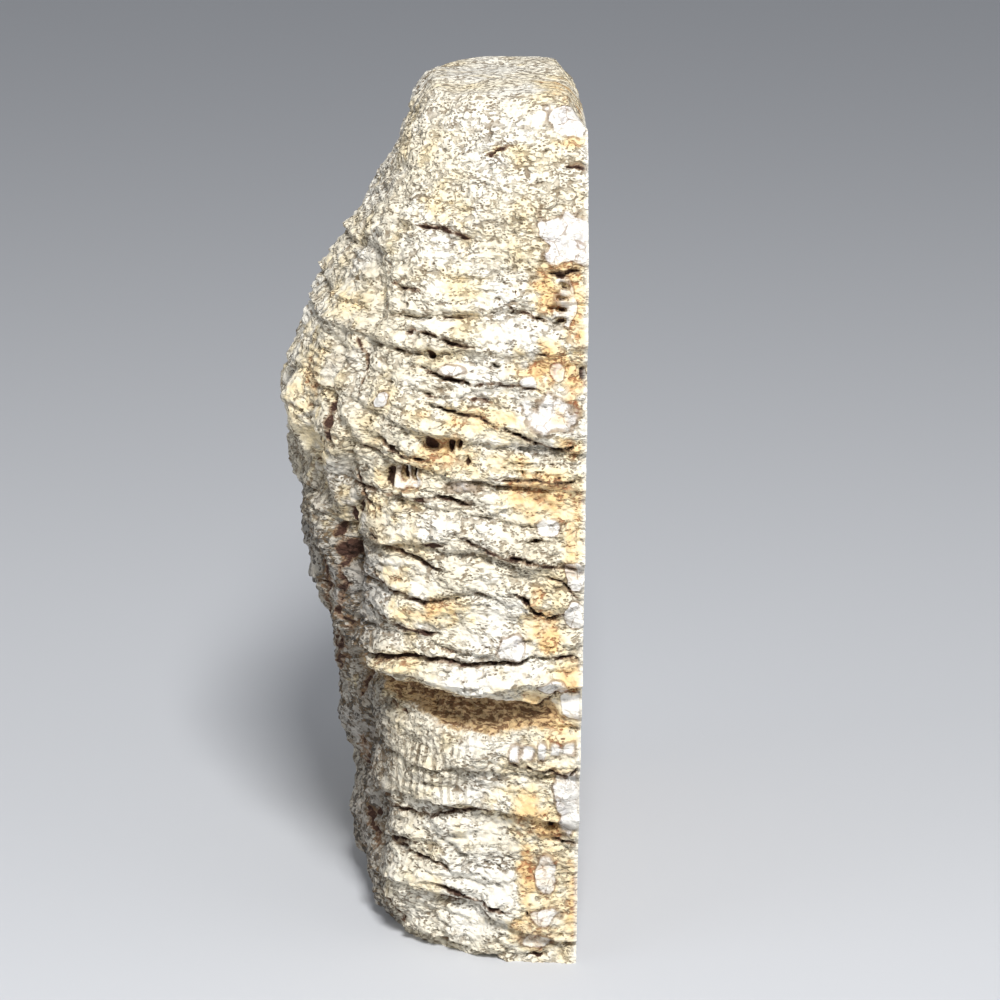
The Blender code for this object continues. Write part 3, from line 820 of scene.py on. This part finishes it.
# colours of the rock, as linear light
rock = dict(
    cream=(0.82, 0.745, 0.58, 1),
    white=(0.85, 0.81, 0.71, 1),
    grey=(0.60, 0.56, 0.50, 1),
    # the next two colours: painted shade for the lower outer side, and near-black painted shadow for
    # its blotches
    shade=(0.27, 0.25, 0.225, 1),
    sideShadeDark=(0.045, 0.037, 0.030, 1),
    yellow=(0.84, 0.70, 0.43, 1),
    ochre=(0.79, 0.54, 0.24, 1),
    rust=(0.30, 0.085, 0.025, 1),
    # the next two colours: brown for crystal outlines and for the fringe of painted shade round
    # clefts, and near-black painted shade in clefts, tinted the red-brown of the stained hollows
    edge=(0.22, 0.125, 0.06, 1),
    cleftShade=(0.055, 0.021, 0.010, 1),
    # dark brown for the rock's specks and for painted shade in pits and creases
    fleckAndShade=(0.15, 0.095, 0.042, 1),
    crystal=(0.81, 0.78, 0.72, 1),
    cloudy=(0.60, 0.57, 0.59, 1),
    # the next two colours: the groove's brown, partly its own stain and partly painted shade, and
    # its darker stripes
    trough=(0.60, 0.41, 0.20, 1),
    troughDark=(0.16, 0.075, 0.030, 1),
    roughness=0.86,
    crystalRoughness=0.42,
    # how fine each pattern is: a higher scale is finer
    broadScale=70.0,
    warmScale=150.0,
    cloudScale=380.0,
    fineScale=900.0,
    shownScale=420.0,
    wormScale=520.0,
    blockScale=380.0,
    stripeScale=800.0,
    dashes=1050.0,
    dots=1450.0,
    crumbs=1000.0,
    swirlScale=270.0,
    swirl=0.0016,
    ribs=5600.0,
    ribWander=14.0,
    ribWanderScale=160.0,
    grainBump=0.00045,
)


def rockMaterial():
    make = Maker("weathered coral rock")
    place = make.node("TexCoord", out=3)
    dark, rust, crystal = make.mark("dark"), make.mark("rust"), make.mark("crystal")
    fleckAndShade, trough, side = make.mark("fleckAndShade"), make.mark("trough"), make.mark("side")
    busy = make.mark("busy")

    broadTone = make.noise(place, rock["broadScale"])
    warmTone = make.noise(place, rock["warmScale"], 5.0)
    cloud = make.noise(place, rock["cloudScale"], 5.0, 0.65)
    fineTone = make.noise(place, rock["fineScale"], 6.0, 0.65)
    glassy = make.band(crystal + (fineTone - 0.5) * 0.25, 0.40, 0.52)
    bare = 1 - 0.60 * glassy

    # short dashes and dots between the crumbs, most of them along the ledges and cracks
    bend = make.node("TexNoise", out=1, Vector=place, Scale=rock["swirlScale"], Detail=1.0)
    bend = make.node("VectorMath", dict(operation="SCALE"), i0=bend, Scale=rock["swirl"])
    drawn = make.node("VectorMath", i0=place, i1=bend)
    flat = make.node("VectorMath", dict(operation="MULTIPLY"), i0=drawn, i1=(1.0, 1.0, 2.5))
    squat = make.node("VectorMath", dict(operation="MULTIPLY"), i0=drawn, i1=(1.0, 1.0, 1.5))
    shown = make.noise(place, rock["shownScale"], 2.0) - (broadTone - 0.5) * 0.35
    shown = shown + (busy - 0.5) * 0.30 + 0.012
    shown = shown + make.band(dark, 0.1, 0.8) * 0.10
    long = make.node("TexVoronoi", Vector=flat, Scale=rock["dashes"])
    short = make.node("TexVoronoi", Vector=squat, Scale=rock["dots"])
    stroke = (1 - make.band(long, 0.20, 0.36)) * make.band(shown, 0.44, 0.52)
    stroke = stroke.largest((1 - make.band(short, 0.20, 0.36)) * make.band(shown, 0.49, 0.58) * 0.9)
    # the dashes and dots are the rock's dark specks; the gaps between crumbs, sunk in the bump, get
    # painted shade
    crumb = make.node("TexVoronoi", Vector=squat, Scale=rock["crumbs"])
    stroke = stroke.largest(make.band(crumb, 0.54, 0.74) * make.band(shown, 0.44, 0.58) * 0.8) * bare
    worm = make.noise(flat, rock["wormScale"], 2.0)

    colour = make.mix(make.band(broadTone, 0.40, 0.62), rock["cream"], rock["white"])
    colour = make.mix(make.band(warmTone, 0.50, 0.66) * 0.70, colour, rock["yellow"])
    colour = make.mix(make.band(warmTone, 0.64, 0.76) * 0.45, colour, rock["ochre"])
    colour = make.mix(make.band(fineTone, 0.56, 0.74) * 0.15, colour, rock["grey"])
    # painted shade on the lower outer side, then near-black blotches of painted shadow there
    colour = make.mix(side * (0.55 + 0.5 * broadTone), colour, rock["shade"])
    sideShadeBlotch = make.band(fineTone + (cloud - 0.5) * 0.5 + (worm - 0.5) * 0.4, 0.50, 0.57)
    colour = make.mix(side * sideShadeBlotch * 0.9, colour, rock["sideShadeDark"])
    soak = rust + (cloud - 0.5) * 1.8 * make.band(rust, 0.03, 0.30)
    colour = make.mix(make.band(soak, 0.10, 0.55) * 0.80, colour, rock["yellow"])
    colour = make.mix(make.band(soak, 0.45, 1.05) * 0.85, colour, rock["ochre"])
    colour = make.mix(glassy * (1 - 0.6 * make.band(soak, 0.3, 0.9)), colour, rock["crystal"])
    colour = make.mix(glassy * make.band(cloud, 0.52, 0.66) * 0.5, colour, rock["cloudy"])
    blocky = make.node("VectorMath", dict(operation="MULTIPLY"), i0=drawn, i1=(1.0, 1.0, 0.7))
    toEdge = dict(feature="DISTANCE_TO_EDGE")
    hair = make.node("TexVoronoi", toEdge, Vector=blocky, Scale=rock["blockScale"])
    hair = 1 - make.band(hair + (fineTone - 0.5) * 0.08, 0.0, 0.05)
    hair = hair * make.band(cloud, 0.44, 0.54)
    edging = 1 - make.band((crystal - 0.42 + (fineTone - 0.5) * 0.25).size(), 0.04, 0.13)
    edging = edging * make.band(cloud, 0.35, 0.48)
    colour = make.mix((glassy * hair).largest(edging) * 0.65, colour, rock["edge"])

    ink = make.mix(make.band(rust + (cloud - 0.5), 0.35, 0.85), rock["fleckAndShade"], rock["rust"])
    strong = 0.45 + 0.75 * make.band(cloud, 0.36, 0.62)
    colour = make.mix((stroke * strong).clamped() * 0.85, colour, ink)
    acrossFront = make.node("SeparateXYZ", i0=place)
    wander = rock["ribWander"] * make.noise(place, rock["ribWanderScale"])
    rib = (acrossFront * rock["ribs"] + wander).wave()
    rib = make.mark("ribs") * make.band(rib, -0.1, 0.8) * make.band(fineTone, 0.40, 0.55)
    colour = make.mix(rib * 0.6, colour, rock["fleckAndShade"])
    # the groove: partly the rock's brown stain, partly painted shade, with darker stripes
    grooveStainAndShade = make.band(trough + (fineTone - 0.5) * 0.9, 0.25, 0.60)
    colour = make.mix(grooveStainAndShade * 0.92, colour, rock["trough"])
    stripe = make.noise(flat, rock["stripeScale"], 3.0, 0.6) + 0.12 * trough
    stripe = make.band(stripe, 0.56, 0.66)
    colour = make.mix(grooveStainAndShade * stripe * 0.9, colour, rock["troughDark"])
    # the rock's dark specks, and painted shade in pits, tracks and creases
    colour = make.mix((fleckAndShade * (0.4 + 0.8 * fineTone)).clamped() * 0.85, colour, ink)
    # painted shade in crevices, cracks and hollows: a brown fringe, then a near-black red-brown core
    ragged = dark + (worm - 0.5) * 0.5 + (fineTone - 0.5) * 0.5
    colour = make.mix(make.band(ragged, 0.76, 0.88) * 0.75, colour, rock["edge"])
    colour = make.mix(make.band(ragged, 0.88, 0.96), colour, rock["cleftShade"])
    # a painted highlight along the edge of the sawn face
    colour = make.mix(make.mark("rim") * 0.8, colour, rock["white"])

    rough = rock["roughness"] - (rock["roughness"] - rock["crystalRoughness"]) * crystal
    grain = (0.4 * worm - 0.85 * crumb) * bare + 0.5 * fineTone - 0.45 * stroke - 0.5 * rib
    bump = make.node("Bump", Height=grain, Distance=rock["grainBump"], Strength=1.0)
    make.feed(Base_Color=colour, Roughness=rough, Normal=bump)
    return make.material


# the sawn face: corallites cut across, each a small flower of thin plates
cut = dict(
    cup=(0.52, 0.42, 0.30, 1),
    plate=(0.84, 0.79, 0.70, 1),
    wall=(0.78, 0.70, 0.57, 1),
    heart=(0.30, 0.19, 0.11, 1),
    amber=(0.46, 0.22, 0.06, 1),
    quartz=(0.66, 0.63, 0.64, 1),
    cupSize=4.4,          # mm from cup to cup
    plates=22.0,
    rings=60.0,
    broadScale=60.0,
    amberScale=45.0,
    fineScale=900.0,
    swirlScale=240.0,
    swirl=0.0016,
    roughness=0.34,
    polish=0.2,
    polishRoughness=0.15,
)


def cutMaterial():
    make = Maker("sawn coral face")
    place = make.node("TexCoord", out=3)
    flat = make.node("VectorMath", dict(operation="MULTIPLY"), i0=place, i1=(0.0, 1.0, 1.0))
    bend = make.node("TexNoise", out=1, Vector=flat, Scale=cut["swirlScale"], Detail=2.0)
    bend = make.node("VectorMath", dict(operation="SCALE"), i0=bend, Scale=cut["swirl"])
    drawn = make.node("VectorMath", i0=flat, i1=bend)
    scale = 1.0 / (cut["cupSize"] * mm)
    cups = dict(Vector=drawn, Scale=scale, Randomness=0.8)
    near = make.node("TexVoronoi", dict(feature="F1"), **cups)
    edge = make.node("TexVoronoi", dict(feature="DISTANCE_TO_EDGE"), **cups)
    centre = make.node("TexVoronoi", dict(feature="F1"), out=2, **cups)
    spoke = make.node("VectorMath", dict(operation="SUBTRACT"), i0=drawn, i1=centre)
    level = make.node("SeparateXYZ", out=1, i0=spoke)
    high = make.node("SeparateXYZ", out=2, i0=spoke)
    turn = high.join("ARCTAN2", high, level) * cut["plates"]
    broadTone = make.noise(flat, cut["broadScale"])
    fineTone = make.noise(flat, cut["fineScale"], 5.0, 0.65)
    plates = (turn + 5.0 * fineTone).wave()
    rings = (near * cut["rings"] + 6.0 * fineTone).wave()
    inCup = make.band(edge + 0.06 * (fineTone - 0.5), 0.02, 0.07)
    heart = make.band(near + 0.15 * (fineTone - 0.5), 0.08, 0.20, 1.0, 0.0)

    colour = make.mix(make.band(plates, -0.1, 0.7) * 0.75, cut["cup"], cut["plate"])
    colour = make.mix(make.band(rings, 0.4, 1.0) * 0.25, colour, cut["plate"])
    colour = make.mix(make.band(fineTone, 0.55, 0.70) * 0.4, colour, cut["heart"])
    colour = make.mix(heart * 0.75, colour, cut["heart"])
    colour = make.mix((1 - inCup) * 0.8, colour, cut["wall"])
    colour = make.mix(make.band(broadTone, 0.52, 0.66) * 0.55, colour, cut["quartz"])
    amberTone = make.noise(flat, cut["amberScale"], 6.0, 0.6)
    colour = make.mix(make.band(amberTone, 0.52, 0.66) * 0.55, colour, cut["amber"])
    make.feed(Base_Color=colour, Roughness=cut["roughness"])
    make.feed(Coat_Weight=cut["polish"], Coat_Roughness=cut["polishRoughness"])
    return make.material


# studio: a pale floor, a key light from above and in front, and two weak fills
studio = dict(
    floorSize=3.0,
    floorColour=(0.56, 0.57, 0.59, 1),
    floorRoughness=0.9,
    sky=(0.86, 0.89, 0.95, 1),
    skyStrength=0.35,
    keyWatts=6.7,
    keySize=0.16,
    keyAt=(0.05, -0.52, 0.60),
    leftWatts=0.85,
    leftAt=(-0.60, -0.35, 0.35),
    rightWatts=0.5,
    rightAt=(0.60, -0.25, 0.30),
    fillSize=0.5,
    lightsAimAt=(0, 0, 0.06),
)


def areaLight(name, at, watts, size):
    light = bpy.data.lights.new(name, "AREA")
    light.energy = watts
    light.size = size
    lamp = bpy.data.objects.new(name, light)
    bpy.context.scene.collection.objects.link(lamp)
    lamp.location = at
    toMiddle = Vector(studio["lightsAimAt"]) - Vector(at)
    lamp.rotation_euler = toMiddle.to_track_quat("-Z", "Y").to_euler()


def buildStudio():
    bpy.ops.mesh.primitive_plane_add(size=studio["floorSize"], location=(0, 0, 0))
    floor = bpy.context.object
    floor.name = "pale_floor"
    make = Maker("pale paper floor")
    make.feed(Base_Color=studio["floorColour"], Roughness=studio["floorRoughness"])
    floor.data.materials.append(make.material)
    world = bpy.data.worlds.new("studio")
    world.use_nodes = True
    back = world.node_tree.nodes["Background"]
    back.inputs[0].default_value = studio["sky"]
    back.inputs[1].default_value = studio["skyStrength"]
    bpy.context.scene.world = world
    areaLight("key", studio["keyAt"], studio["keyWatts"], studio["keySize"])
    areaLight("left fill", studio["leftAt"], studio["leftWatts"], studio["fillSize"])
    areaLight("right fill", studio["rightAt"], studio["rightWatts"], studio["fillSize"])
    bpy.context.scene.view_settings.view_transform = "Standard"


# camera: measured from the front foot of the solid's box, in mm
shot = dict(
    left=26.2,
    near=480.4,
    high=210.6,
    turn=1.57,            # degrees to the right of straight on
    roll=0.85,
    lens=126.0,
    sensor=36.0,
)


def buildCamera():
    data = bpy.data.cameras.new("view of the coral")
    data.lens = shot["lens"]
    data.sensor_width = shot["sensor"]
    data.clip_start = 0.01
    camera = bpy.data.objects.new("view of the coral", data)
    bpy.context.scene.collection.objects.link(camera)
    tilt = math.radians(eye["tilt"])
    turn = math.radians(shot["turn"])
    ahead = Vector((0, math.cos(tilt), -math.sin(tilt)))
    ahead = (ahead + Vector((math.tan(turn), 0, 0))).normalized()
    aim = ahead.to_track_quat("-Z", "Y").to_matrix().to_4x4()
    aim = aim @ Matrix.Rotation(math.radians(shot["roll"]), 4, "Z")
    at = Vector((highCorner[0] - shot["left"], lowCorner[1] - shot["near"], shot["high"])) * mm
    camera.matrix_world = Matrix.Translation(at) @ aim
    bpy.context.scene.camera = camera


def dressCoral(coral):   # the sawn face has a material of its own and is shaded flat
    coral.data.materials.append(rockMaterial())
    coral.data.materials.append(cutMaterial())
    faces = coral.data.polygons
    normals = np.zeros(len(faces) * 3)
    centres = np.zeros(len(faces) * 3)
    faces.foreach_get("normal", normals)
    faces.foreach_get("center", centres)
    onCut = (normals[0::3] > 0.999) & (centres[0::3] > (highCorner[0] - 0.01) * mm)
    faces.foreach_set("material_index", onCut.astype(np.int32))
    faces.foreach_set("use_smooth", ~onCut)
    print("coral: materials made, sawn face has", int(onCut.sum()), "faces")


coral = buildCoral()
dressCoral(coral)
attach(coral, "root")
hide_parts("coral_head")

buildStudio()
buildCamera()
print("coral: studio and camera set")
